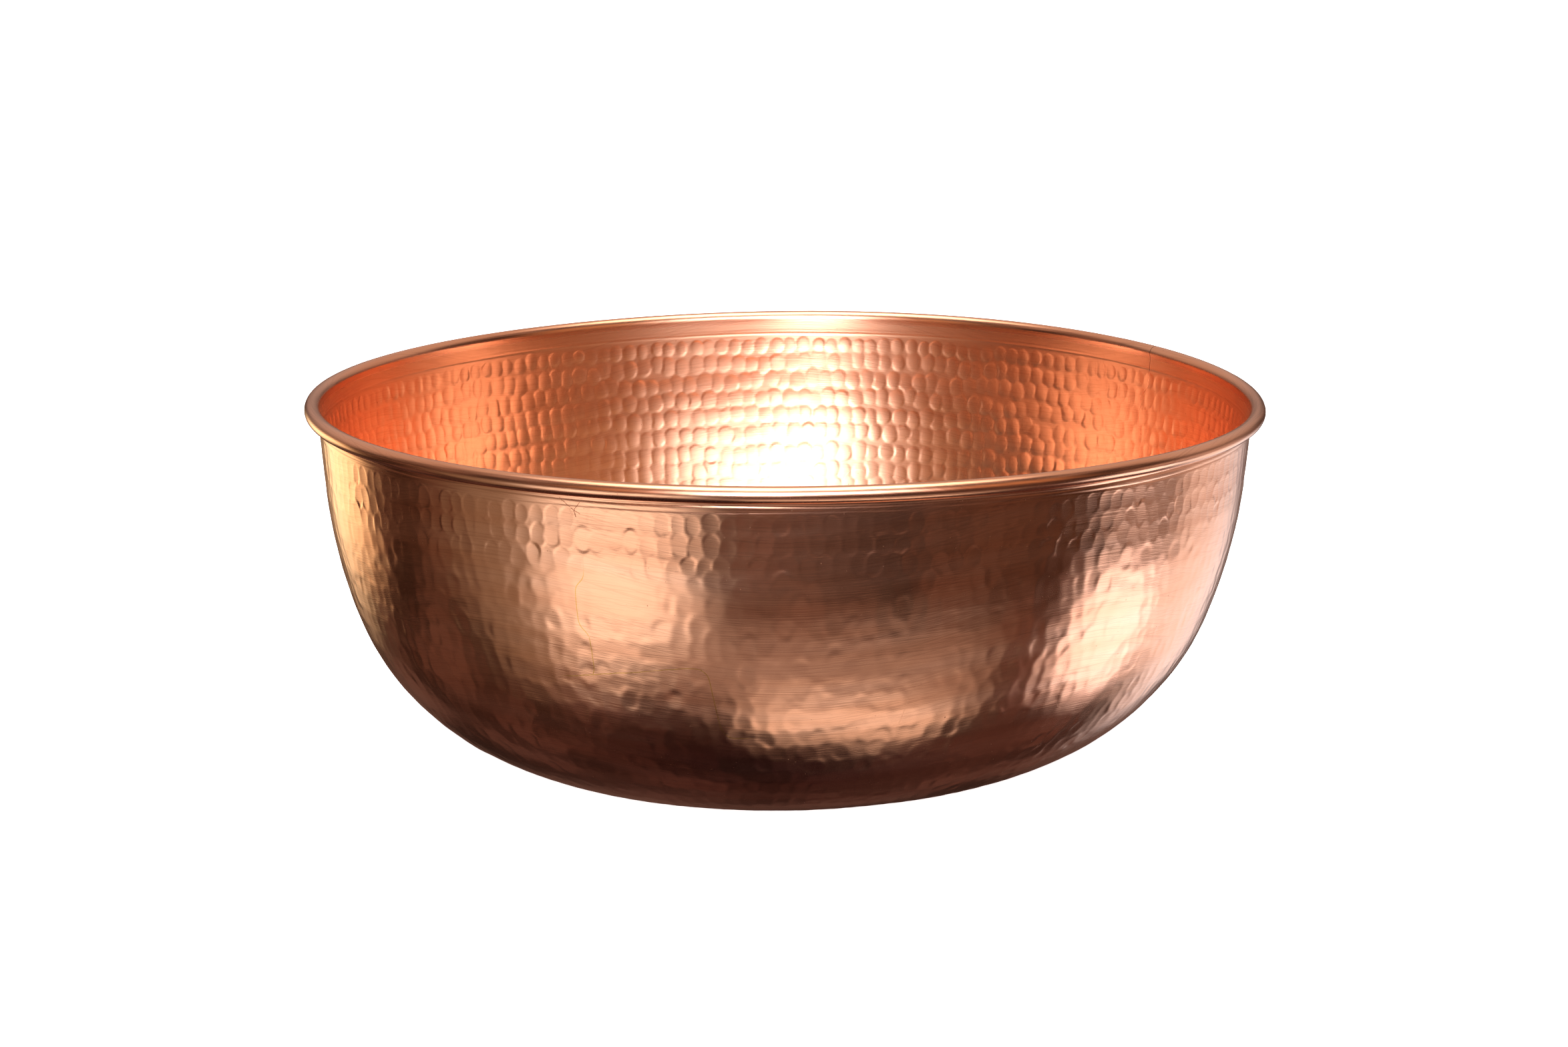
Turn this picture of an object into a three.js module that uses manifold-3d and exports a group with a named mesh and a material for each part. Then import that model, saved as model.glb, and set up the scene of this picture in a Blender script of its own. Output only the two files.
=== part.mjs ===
// A hand-hammered copper bowl: two wall sheets rolled over a steel rim wire, a deep base pan,
// and the brass braze that fills the toothed seams between them.
// Millimetres, +Z up. The origin is the middle of the flat underside, on the surface it stands on.
import * as THREE from 'three';
import { mergeVertices } from 'three/addons/utils/BufferGeometryUtils.js';
import Module from 'manifold-3d';

const wasm = await Module();
wasm.setup();
const { Manifold, Mesh: SolidMesh } = wasm;

// Driving dimensions
const RIM_DIAMETER = 400;
const HEIGHT = 154;
const SHEET = 1.2; // copper sheet thickness
const WIRE_DIAMETER = 3.6;
const FIT_GAP = 0.3; // between any two pieces that touch
const BRAZE_WIDTH = 1;

// Side view of the wall, from the rim down: a straight taper, then three arcs, then the flat base
const WALL_TAPER = degrees(5); // lean of the straight upper wall from the vertical
const ARCS = [
  { radius: 210, until: degrees(21), steps: 4 }, // upper wall
  { radius: 100, until: degrees(72), steps: 7 }, // belly
  { radius: 130, until: degrees(90), steps: 3 }, // foot, which runs out flat
];
const CURL_END = degrees(-110); // where the rolled edge stops, short of the wall
const CURL_STEPS = 12;
const WIRE_STEPS = 8;
const ROUND_STEPS = 72;

// Seam between the walls and the base pan: broad tabs of the pan stand up between the walls
const TAB_COUNT = 8;
const TAB_MIDDLE = degrees(-109.6); // azimuth of the tab at the front left, from +X
const TAB_WIDTH = 68; // at half its height
const TAB_SLANT = 2; // each side leans in by this much from the middle to the top
const TAB_TOP = 80; // at the middle of the top edge
const TAB_RISE = 6; // how far the top edge climbs from the left corner to the right one
const TAB_FOOT = 52;
const TAB_ROOT = 5; // how far a cutting tab reaches down into the plug that it stands on

// The two upright seams between the wall sheets, from +X, and the teeth cut along them
const FRONT_LEFT_SEAM = degrees(-114);
const BACK_RIGHT_SEAM = degrees(33);
const TOOTH_HEIGHT = 19;
const TOOTH_DEPTH = 4.4;

// Sizes that follow
const ROLL_RADIUS = WIRE_DIAMETER / 2 + FIT_GAP + SHEET;
const ROLL_CENTRE = new THREE.Vector2(RIM_DIAMETER / 2 - ROLL_RADIUS, HEIGHT - ROLL_RADIUS);
const BRAZE_HALF = BRAZE_WIDTH / 2;
const SHEET_EDGE = BRAZE_HALF + FIT_GAP; // from a seam's middle line to the sheet's edge
const CLEAR = RIM_DIAMETER; // a length that reaches past everything, for cutting solids
const FULL_TURN = 2 * Math.PI;
const SAME_POINT = 1e-4; // vertices closer than this are one

const COPPER = { color: 0xb8663f, roughness: 0.34, metalness: 1 };
const BRASS = { color: 0xc99b4b, roughness: 0.4, metalness: 1 };
const STEEL = { color: 0x8b8680, roughness: 0.45, metalness: 1 };

function degrees(angle) {
  return (angle * Math.PI) / 180;
}

// Solids and booleans

function toSolid(geometry) {
  const plain = geometry.index ? geometry.toNonIndexed() : geometry.clone();
  plain.deleteAttribute('normal');
  plain.deleteAttribute('uv');
  const merged = mergeVertices(plain, SAME_POINT);
  return new Manifold(
    new SolidMesh({
      numProp: 3,
      vertProperties: new Float32Array(merged.attributes.position.array),
      triVerts: new Uint32Array(merged.index.array),
    }),
  );
}

function toGeometry(solid) {
  const { vertProperties, triVerts } = solid.getMesh();
  const geometry = new THREE.BufferGeometry();
  geometry.setAttribute('position', new THREE.BufferAttribute(vertProperties, 3));
  geometry.setIndex(new THREE.BufferAttribute(triVerts, 1));
  geometry.computeVertexNormals();
  return geometry;
}

function union(solids) {
  return solids.reduce((sum, solid) => sum.add(solid));
}

// A LatheGeometry turns about Y, so its profile's height is tipped onto Z.
function turned(profile) {
  return new THREE.LatheGeometry(profile, ROUND_STEPS).rotateX(Math.PI / 2);
}

// The bowl's sheet as one shell

// Points down the outer face from the rim to the base, each with the sheet's lean from the vertical.
function wallStations() {
  const arcsDepth = ARCS.reduce((sum, arc, i) => {
    const from = i ? ARCS[i - 1].until : WALL_TAPER;
    return sum + arc.radius * (Math.sin(arc.until) - Math.sin(from));
  }, 0);
  const straightDepth = ROLL_CENTRE.y - arcsDepth;
  const neck = ROLL_CENTRE.x - ROLL_RADIUS + SHEET;
  const stations = [
    { r: neck, z: ROLL_CENTRE.y, lean: WALL_TAPER },
    { r: neck - straightDepth * Math.tan(WALL_TAPER), z: arcsDepth, lean: WALL_TAPER },
  ];
  let lean = WALL_TAPER;
  for (const arc of ARCS) {
    const start = stations.at(-1);
    for (let step = 1; step <= arc.steps; step += 1) {
      const at = lean + ((arc.until - lean) * step) / arc.steps;
      stations.push({
        r: start.r - arc.radius * (Math.cos(lean) - Math.cos(at)),
        z: start.z - arc.radius * (Math.sin(at) - Math.sin(lean)),
        lean: at,
      });
    }
    lean = arc.until;
  }
  return stations;
}

function curlPoints(radius) {
  const points = [];
  for (let step = 0; step <= CURL_STEPS; step += 1) {
    const at = Math.PI + ((CURL_END - Math.PI) * step) / CURL_STEPS;
    points.push(new THREE.Vector2(radius * Math.cos(at), radius * Math.sin(at)).add(ROLL_CENTRE));
  }
  return points;
}

// The outer face runs up the wall and on round the inside of the curl. The inner face comes back
// over the outside of the curl and down the inside of the bowl.
function sheetProfile() {
  const stations = wallStations();
  const outer = stations.slice(1).map(({ r, z }) => new THREE.Vector2(r, z));
  const inner = stations.slice(1).map(
    ({ r, z, lean }) => new THREE.Vector2(r - SHEET * Math.cos(lean), z + SHEET * Math.sin(lean)),
  );
  return [
    new THREE.Vector2(0, 0),
    ...outer.reverse(),
    ...curlPoints(ROLL_RADIUS - SHEET),
    ...curlPoints(ROLL_RADIUS).reverse(),
    ...inner,
    new THREE.Vector2(0, SHEET),
  ];
}

// Cutting solids. Each takes how far it is grown past the seam's middle line.

// Everything below the base seam: a plug up to the tabs' feet, and the tabs standing on it.
function belowBaseSeam(grown) {
  const plug = new THREE.CylinderGeometry(CLEAR, CLEAR, TAB_FOOT + grown + CLEAR, ROUND_STEPS)
    .rotateX(Math.PI / 2)
    .translate(0, 0, (TAB_FOOT + grown - CLEAR) / 2);
  const tabs = Array.from({ length: TAB_COUNT }, (_, i) =>
    toSolid(baseTab(TAB_MIDDLE + (i * FULL_TURN) / TAB_COUNT, grown)),
  );
  return union([toSolid(plug), ...tabs]);
}

function baseTab(azimuth, grown) {
  const half = TAB_WIDTH / 2 + grown;
  const outline = new THREE.Shape([
    new THREE.Vector2(-half - TAB_SLANT, TAB_FOOT - TAB_ROOT),
    new THREE.Vector2(half + TAB_SLANT, TAB_FOOT - TAB_ROOT),
    new THREE.Vector2(half - TAB_SLANT, TAB_TOP + TAB_RISE / 2 + grown),
    new THREE.Vector2(-half + TAB_SLANT, TAB_TOP - TAB_RISE / 2 + grown),
  ]);
  const outward = new THREE.Vector3(Math.cos(azimuth), Math.sin(azimuth), 0);
  const up = new THREE.Vector3(0, 0, 1);
  const across = new THREE.Vector3().crossVectors(up, outward);
  return new THREE.ExtrudeGeometry(outline, { depth: CLEAR, bevelEnabled: false }).applyMatrix4(
    new THREE.Matrix4().makeBasis(across, up, outward),
  );
}

// Everything between two upright seams. Its edges step to and fro to make the teeth.
function betweenSeams(from, to, grown) {
  const rimRadius = RIM_DIAMETER / 2;
  const growth = grown / rimRadius;
  const step = TOOTH_DEPTH / 2 / rimRadius;
  const slices = [];
  for (let low = 0, side = 1; low < HEIGHT; low += TOOTH_HEIGHT, side = -side) {
    const start = from + side * step - growth;
    const end = to + side * step + growth;
    const outline = new THREE.Shape();
    outline.moveTo(0, 0);
    outline.lineTo(CLEAR * Math.cos(start), CLEAR * Math.sin(start));
    outline.absarc(0, 0, CLEAR, start, end, false);
    outline.closePath();
    const depth = TOOTH_HEIGHT + 2 * grown;
    const slice = new THREE.ExtrudeGeometry(outline, { depth, bevelEnabled: false });
    slices.push(toSolid(slice.translate(0, 0, low - grown)));
  }
  return union(slices);
}

function behindMiddle() {
  return toSolid(new THREE.BoxGeometry(2 * CLEAR, CLEAR, 2 * CLEAR).translate(0, CLEAR / 2, 0));
}

// The pieces

const shell = toSolid(turned(sheetProfile()));
const wallRing = shell.subtract(belowBaseSeam(SHEET_EDGE));

function frontRightRegion(grown) {
  return betweenSeams(FRONT_LEFT_SEAM, BACK_RIGHT_SEAM, grown);
}

function backLeftRegion(grown) {
  return betweenSeams(BACK_RIGHT_SEAM, FRONT_LEFT_SEAM + FULL_TURN, grown);
}

function basePan() {
  return toGeometry(shell.intersect(belowBaseSeam(-SHEET_EDGE)));
}

function baseSeamBraze() {
  return toGeometry(shell.intersect(belowBaseSeam(BRAZE_HALF)).subtract(belowBaseSeam(-BRAZE_HALF)));
}

function wallSheet(otherRegion) {
  return toGeometry(wallRing.subtract(otherRegion(SHEET_EDGE)));
}

function uprightBrazes() {
  return wallRing.intersect(frontRightRegion(BRAZE_HALF)).intersect(backLeftRegion(BRAZE_HALF));
}

function rimWire() {
  const outline = Array.from({ length: WIRE_STEPS + 1 }, (_, i) => {
    const at = (i * FULL_TURN) / WIRE_STEPS;
    const radius = WIRE_DIAMETER / 2;
    return new THREE.Vector2(radius * Math.cos(at), radius * Math.sin(at)).add(ROLL_CENTRE);
  });
  return turned(outline);
}

// Assembly

const bowl = new THREE.Group();
bowl.name = 'hammered_copper_bowl';

function addPiece(name, geometry, finish) {
  const piece = new THREE.Mesh(geometry, new THREE.MeshStandardMaterial(finish));
  piece.name = name;
  bowl.add(piece);
}

addPiece('wall_sheet_front_right', wallSheet(backLeftRegion), COPPER);
addPiece('wall_sheet_back_left', wallSheet(frontRightRegion), COPPER);
addPiece('base_pan', basePan(), COPPER);
addPiece('base_seam_braze', baseSeamBraze(), BRASS);
addPiece('front_left_seam_braze', toGeometry(uprightBrazes().subtract(behindMiddle())), BRASS);
addPiece('back_right_seam_braze', toGeometry(uprightBrazes().intersect(behindMiddle())), BRASS);
addPiece('rim_wire', rimWire(), STEEL);

export default bowl;
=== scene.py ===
"""The looks of a hand-hammered copper bowl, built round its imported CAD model.

Lengths are in millimetres until a mesh is made. The bowl stands on z = 0 and its axis is Z.
"Along" is the distance down the outer face from the rim's neck: 0 at the neck, more towards the
middle of the base, and below 0 on the rolled rim.
"""

import math

import bpy
import numpy as np
from mathutils import Matrix, Vector


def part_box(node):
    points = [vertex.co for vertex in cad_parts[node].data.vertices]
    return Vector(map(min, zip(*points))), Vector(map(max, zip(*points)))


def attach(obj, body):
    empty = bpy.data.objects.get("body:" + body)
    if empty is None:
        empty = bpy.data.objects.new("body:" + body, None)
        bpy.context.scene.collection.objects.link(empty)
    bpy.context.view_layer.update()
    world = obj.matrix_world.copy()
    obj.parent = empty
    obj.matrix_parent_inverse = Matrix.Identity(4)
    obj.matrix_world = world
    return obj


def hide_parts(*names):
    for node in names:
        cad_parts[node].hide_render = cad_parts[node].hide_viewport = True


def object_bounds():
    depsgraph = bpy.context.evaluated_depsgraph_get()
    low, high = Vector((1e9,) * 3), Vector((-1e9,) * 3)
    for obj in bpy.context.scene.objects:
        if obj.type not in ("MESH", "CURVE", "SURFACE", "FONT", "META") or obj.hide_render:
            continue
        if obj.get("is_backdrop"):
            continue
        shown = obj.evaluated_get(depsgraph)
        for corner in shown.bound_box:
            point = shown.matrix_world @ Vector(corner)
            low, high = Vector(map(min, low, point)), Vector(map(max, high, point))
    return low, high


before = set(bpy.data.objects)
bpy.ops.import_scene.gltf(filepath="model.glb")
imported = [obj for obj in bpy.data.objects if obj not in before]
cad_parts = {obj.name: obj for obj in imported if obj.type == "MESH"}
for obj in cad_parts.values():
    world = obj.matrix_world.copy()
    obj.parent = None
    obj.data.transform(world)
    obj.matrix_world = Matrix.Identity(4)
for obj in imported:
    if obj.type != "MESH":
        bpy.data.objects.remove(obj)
cad_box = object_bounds()

MM = 0.001
TURN = 2 * math.pi


# The bowl's shape, from the CAD model's parts. The sheet, the taper and the arcs are the CAD model's
# own.

wire_low, wire_high = (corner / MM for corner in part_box("rim_wire"))
seam_low, seam_high = (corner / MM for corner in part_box("base_seam_braze"))
SHEET = 1.2  # thickness of the copper
FIT_GAP = 0.3  # air between the wire and the sheet rolled round it
WIRE_RADIUS = (wire_high.z - wire_low.z) / 2
ROLL_RADIUS = WIRE_RADIUS + FIT_GAP + SHEET
ROLL_MIDDLE = Vector((wire_high.x - WIRE_RADIUS, (wire_low.z + wire_high.z) / 2))
CURL_ANGLE = math.radians(290)  # how far the sheet is rolled round the wire

TAPER = math.radians(5)  # lean of the straight upper wall from the vertical
# Below it, each arc's radius and the lean that it ends at: upper wall, belly and foot
ARCS = ((210, math.radians(21)), (100, math.radians(72)), (130, math.radians(90)))
PATH_STEP = 0.05


def wall_path():
    """Along, radius, height and lean from the vertical, at close steps down the outer face."""
    depths = []
    lean = TAPER
    for radius, until in ARCS:
        depths.append(radius * (math.sin(until) - math.sin(lean)))
        lean = until
    straight = (ROLL_MIDDLE.y - sum(depths)) / math.cos(TAPER)
    ends = [0, straight]
    leans = [TAPER, TAPER]
    for radius, until in ARCS:
        ends.append(ends[-1] + radius * (until - leans[-1]))
        leans.append(until)
    neck = ROLL_MIDDLE.x - ROLL_RADIUS + SHEET
    along = np.arange(0, ends[-1] + neck, PATH_STEP)
    lean = np.interp(along, ends, leans)
    radius = neck - np.cumsum(np.sin(lean)) * PATH_STEP
    height = ROLL_MIDDLE.y - np.cumsum(np.cos(lean)) * PATH_STEP
    kept = radius > 0
    return along[kept], radius[kept], np.maximum(height[kept], 0), lean[kept]


PATH_ALONG, PATH_RADIUS, PATH_HEIGHT, PATH_LEAN = wall_path()
NECK_RADIUS = PATH_RADIUS[0]


def radius_at(along):
    return np.interp(along, PATH_ALONG, PATH_RADIUS)


def along_at(height):
    """Along for a height on the wall, where the outer face isn't flat."""
    return np.interp(-np.asarray(height), -PATH_HEIGHT, PATH_ALONG)


# The grid that both faces of the sheet share: rows from the curl's end to the middle of the base

COLUMNS = 2048
COLUMN_ANGLE = TURN / COLUMNS
CURL_ROWS = 26
FINE_STEP = 0.35  # between rows next to the rim, where the grooves are
FINE_UNTIL = 14
ROW_STEP = 0.6  # between the rest


def grid_rows():
    curl = -ROLL_RADIUS * CURL_ANGLE * (1 - np.arange(CURL_ROWS) / CURL_ROWS)
    fine = np.arange(0, FINE_UNTIL, FINE_STEP)
    coarse = np.arange(FINE_UNTIL, PATH_ALONG[-1] - ROW_STEP / 2, ROW_STEP)
    return np.concatenate([curl, fine, coarse])


ALONG = grid_rows()
ROWS = len(ALONG)
THETA = np.arange(COLUMNS) * COLUMN_ANGLE
ON_CURL = ALONG < 0
SHEET_CORNERS = ROWS * COLUMNS + 1  # every grid corner, then the middle of the base


def face_rows(inner):
    """Radius and height of each grid row on one face, and the way that face looks there."""
    lean = np.interp(ALONG, PATH_ALONG, PATH_LEAN)
    turn = math.pi + np.where(ON_CURL, ALONG / ROLL_RADIUS, 0)
    curl_radius = ROLL_RADIUS if inner else ROLL_RADIUS - SHEET
    side = -1 if inner else 1
    depth = SHEET if inner else 0
    look_r = np.where(ON_CURL, -side * np.cos(turn), side * np.cos(lean))
    look_z = np.where(ON_CURL, -side * np.sin(turn), -side * np.sin(lean))
    wall_r = radius_at(ALONG) - depth * np.cos(lean)
    wall_z = np.interp(ALONG, PATH_ALONG, PATH_HEIGHT) + depth * np.sin(lean)
    radius = np.where(ON_CURL, ROLL_MIDDLE.x + curl_radius * np.cos(turn), wall_r)
    height = np.where(ON_CURL, ROLL_MIDDLE.y + curl_radius * np.sin(turn), wall_z)
    return np.stack([radius, height, look_r, look_z], axis=1)


# Hammer marks, pressed one by one into each face's relief (millimetres, up is away from the metal)

MARK_SPACING = 6.4  # round the bowl
MARK_ROW_PITCH = 8.2
FIRST_MARKS = 12.4  # along
FEWEST_MARKS = 3  # in the rows nearest the middle of the base
CENTRE_REST = 5  # no marks this close to the middle of the base
FIRST_DENT = (3.1, 3.6)  # half width and half height, in the row next to the rim
DENT = (3.8, 4.3)  # and in the others
DENT_DEPTH = 0.145  # from a dent's edge to its middle
DENT_FLOOR = 1.25  # depth of the middle below the sheet, as a multiple of that
FLAT = (3.5, 4.4)  # half width and half height of a planished flat next to the rim
FLAT_GROWTH = (0.6, 1.0)  # how much larger the flats are from the fourth row on
MARK_EDGE = 0.12  # share of a mark's radius over which it joins what lies round it
RUBBED_FROM = 24  # along, where the outer marks start to be rubbed softer
RUBBED_OVER = 12  # and how far on they are fully so

# Turned lines below the rim on each face: along, depth, width, and how far each wanders
INNER_GROOVES = ((6.8, 0.12, 0.45, 0.15), (5.4, 0.04, 0.3, 0.2))
OUTER_GROOVES = ((4.9, 0.22, 0.5, 0.3), (7.1, 0.12, 0.35, 0.35))


def eased(x):
    """0 below 0, 1 above 1, and smooth between."""
    x = np.clip(x, 0, 1)
    return x * x * (3 - 2 * x)


def strike(relief, theta, along, wide, tall, face, edge):
    """Presses one oval mark with that half width and half height. face(across, down, reach) is its
    shape. It wipes out what lies under it, and joins what lies round it over the outer share, edge,
    of its radius."""
    rows = slice(*np.searchsorted(ALONG, [along - tall, along + tall]))
    if rows.start == rows.stop:
        return
    half = min(wide / radius_at(along), math.pi)
    columns = np.arange(math.ceil((theta - half) / COLUMN_ANGLE), (theta + half) / COLUMN_ANGLE)
    columns = columns.astype(int)
    across = (columns * COLUMN_ANGLE - theta) * radius_at(ALONG[rows])[:, None]
    down = (ALONG[rows] - along)[:, None]
    reach = np.hypot(across / wide, down / tall)
    struck = face(across, down, reach)
    place = np.ix_(np.arange(rows.start, rows.stop), columns % COLUMNS)
    firm = eased((1 - reach) / edge)
    relief[place] += firm * (struck - relief[place])


def mark_rows(rng):
    """Along and the angles of the marks in each row, from the rim to the middle of the base.
    The rows start half a mark apart, so that they interlock like scales."""
    last = PATH_ALONG[-1] - CENTRE_REST
    for number, along in enumerate(np.arange(FIRST_MARKS, last, MARK_ROW_PITCH)):
        count = max(FEWEST_MARKS, round(TURN * radius_at(along) / MARK_SPACING))
        angles = (np.arange(count) + number % 2 / 2 + 0.2 * rng.random()) * TURN / count
        yield along, angles + rng.normal(0, 0.08, count) * TURN / count


def slow_waves(rng, strength, shortest, turn_counts):
    """A smooth uneven relief over the whole grid: a sum of waves, each with its count per turn.
    shortest is about the shortest wave down the wall."""
    relief = np.zeros((ROWS, COLUMNS))
    for turns in turn_counts:
        phase, run = rng.uniform(0, TURN, 2)
        drift = rng.uniform(-1, 1) / shortest
        swell = np.cos(turns * THETA[None, :] + ALONG[:, None] * drift * TURN + phase)
        relief += swell * np.cos(ALONG[:, None] / shortest + run) / math.sqrt(turns)
    return relief * strength / math.sqrt(len(turn_counts))


def groove(relief, along, depth, width, wander, rng):
    """Sinks a turned line into the relief, which wanders and fades as it goes round."""
    phases = rng.uniform(0, TURN, 3)
    line = along + wander * (np.sin(5 * THETA + phases[0]) + np.sin(13 * THETA + phases[1])) / 2
    strength = depth * (0.75 + 0.25 * np.sin(7 * THETA + phases[2]))
    relief -= strength * np.exp(-(((ALONG[:, None] - line) / width) ** 2))


def rubbed(relief, passes):
    """Rounds the relief off: each pass averages every point with its four neighbours."""
    for _ in range(passes):
        above = np.concatenate([relief[:1], relief[:-1]])
        below = np.concatenate([relief[1:], relief[-1:]])
        beside = np.roll(relief, 1, 1) + np.roll(relief, -1, 1)
        relief = (2 * relief + above + below + beside) / 6
    return relief


def wear(rng, share):
    """How much of the marks is left at each point: they are rubbed away in uneven patches."""
    patches = slow_waves(rng, 1, 24, (3, 5, 8, 13, 21, 34))
    return 1 - share * eased(1.6 * patches / patches.std() - 1)


def inner_relief():
    """Deep round dents, struck in rows from the base up to the rim, each over the last."""
    rng = np.random.default_rng(11)
    relief = np.zeros((ROWS, COLUMNS))
    for number, (along, angles) in reversed(list(enumerate(mark_rows(rng)))):
        first = number == 0
        half_width, half_height = FIRST_DENT if first else DENT
        sway = rng.uniform(0, TURN, 2)
        for theta in angles:
            drift = 0.7 * math.sin(3 * theta + sway[0]) + 0.5 * math.sin(11 * theta + sway[1])
            wide = half_width * rng.normal(1, 0.07)
            tall = half_height * rng.normal(1, 0.07)
            depth = DENT_DEPTH * rng.uniform(0.7, 1.2)
            tilt = rng.normal(0, 0.008, 2)

            def dent(across, down, reach):
                return depth * (reach**2 - DENT_FLOOR) + tilt[0] * across + tilt[1] * down

            place = along + (rng.normal(0, 0.3) if first else drift + rng.normal(0, 0.6))
            strike(relief, theta, place, wide, tall, dent, MARK_EDGE)
    relief *= wear(rng, 0.35)
    for line in INNER_GROOVES:
        groove(relief, *line, rng)
    return relief


def outer_relief():
    """Shallow planished flats, struck in rows from the rim down, then rubbed softer below the rim."""
    rng = np.random.default_rng(23)
    relief = np.zeros((ROWS, COLUMNS))
    for number, (along, angles) in enumerate(mark_rows(rng)):
        loose = min(number, 3) / 3  # the rows get less regular further from the rim
        level = 0.5 / max(radius_at(along), 40)  # undoes the bowl's own curve across the mark
        sway = rng.uniform(0, TURN, 2)
        for theta in angles:
            drift = 1.2 * math.sin(3 * theta + sway[0]) + 0.9 * math.sin(9 * theta + sway[1])
            wide = (FLAT[0] + FLAT_GROWTH[0] * loose) * rng.normal(1, 0.06 + 0.06 * loose)
            tall = (FLAT[1] + FLAT_GROWTH[1] * loose) * rng.normal(1, 0.06 + 0.06 * loose)
            depth = rng.uniform(0.05, 0.09)
            hollow = rng.uniform(0.001, 0.006) * (1 - loose / 2)
            tilt = rng.normal(0, 0.008 + 0.006 * loose, 2)

            def flat_mark(across, down, reach):
                bend = level * across**2 + hollow * (across**2 + down**2)
                return bend + tilt[0] * across + tilt[1] * down - depth

            place = along + loose * drift + rng.normal(0, 0.3 + 0.9 * loose)
            strike(relief, theta, place, wide, tall, flat_mark, MARK_EDGE + 0.1 * loose)
    share = eased((ALONG - RUBBED_FROM) / RUBBED_OVER)[:, None]
    relief = relief * (1 - share) + rubbed(relief, 6) * share * wear(rng, 0.5)
    for line in OUTER_GROOVES:
        groove(relief, *line, rng)
    return relief


def both_reliefs():
    """The inner and the outer relief, with the swells of the whole sheet and a roughly rolled rim."""
    rng = np.random.default_rng(5)
    swell = slow_waves(rng, 0.3, 38, (5, 7, 9, 12, 16, 21))
    swell *= (eased(ALONG / 25) * eased((PATH_ALONG[-1] - ALONG - 60) / 40))[:, None]
    rough = slow_waves(rng, 0.05, 2.5, (23, 31, 44, 60)) * ON_CURL[:, None]
    return inner_relief() - swell + rough, outer_relief() + swell


# From the grid to points in space

# How the rim is out of true: the cosine and sine of one, two and three waves in its height, the
# oval in its width, and how far it sits off the middle
RIM_LIFT = ((-2.5, -0.5), (-0.9, 0.3), (-0.5, 0))
RIM_OVAL = -0.1
RIM_SHIFT = (1.1, 0.3)
TRUE_BELOW = 90  # how far below the rim the bowl is true again


def hand_made(points):
    """Moves points as the rim isn't quite round, level or centred. The amounts fade downwards."""
    x, y, z = points.T
    theta = np.arctan2(y, x)
    fade = np.clip(1 + (z - ROLL_MIDDLE.y) / TRUE_BELOW, 0, 1) ** 1.5
    lift = np.zeros(len(points))
    for waves, (cosine, sine) in enumerate(RIM_LIFT, start=1):
        lift += cosine * np.cos(waves * theta) + sine * np.sin(waves * theta)
    spread = RIM_OVAL * (np.cos(2 * theta) + np.sin(2 * theta))
    shift_x = RIM_SHIFT[0] + spread * np.cos(theta)
    shift_y = RIM_SHIFT[1] + spread * np.sin(theta)
    return points + np.stack([shift_x, shift_y, lift], axis=1) * fade[:, None]


def sampled(grid, rows, columns):
    """A grid's value between its rows and columns, which go round."""
    row = np.clip(rows.astype(int), 0, ROWS - 2)
    column = np.floor(columns).astype(int)
    down = rows - row
    across = columns - column
    left, right = column % COLUMNS, (column + 1) % COLUMNS
    upper = grid[row, left] * (1 - across) + grid[row, right] * across
    lower = grid[row + 1, left] * (1 - across) + grid[row + 1, right] * across
    return upper * (1 - down) + lower * down


def placed(face, relief, rows, columns):
    """Points of one face, at grid rows and columns that may lie between whole ones."""
    row = np.clip(rows.astype(int), 0, ROWS - 2)
    share = (rows - row)[:, None]
    radius, height, look_r, look_z = (face[row] * (1 - share) + face[row + 1] * share).T
    rise = sampled(relief, rows, columns)
    theta = columns * COLUMN_ANGLE
    radius = radius + look_r * rise
    points = [radius * np.cos(theta), radius * np.sin(theta), height + look_z * rise]
    return hand_made(np.stack(points, axis=1))


# The seams

BRAZE_WIDTH = 0.35  # as thin as the photo's lines
CAD_BRAZE_HALF = 0.5  # half the width of the CAD model's
TAB_COUNT = 8
TAB_MIDDLE = math.radians(-109.6)  # azimuth of the tab at the front left, from +X
TAB_WIDTH = 68  # at half its height
TAB_SLANT = 2  # each side leans in by this much from the middle to the top
TAB_RISE = 9  # how far the top edge climbs from left to right, steeper than in the CAD model
TAB_UNEVEN = 1.2  # how far the top of each tab but the front left one is out of place, at most
CORNER_POINTS = 11  # the seam's line is averaged over this many of its points, to round its corners
SEAM_WOBBLE = 0.5
WOBBLE_POINTS = 9  # the wobble is averaged over this many
FRONT_LEFT_SEAM = math.radians(-114)
BACK_RIGHT_SEAM = math.radians(33)
TOOTH_HEIGHT = 19  # of the upright seams' teeth
TOOTH_DEPTH = 4.4
SEAM_STEP = 1.2  # between the points of a seam's line
FRONT_RIGHT, BACK_LEFT, PAN = 1, 2, 3  # labels of the three sheets


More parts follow.
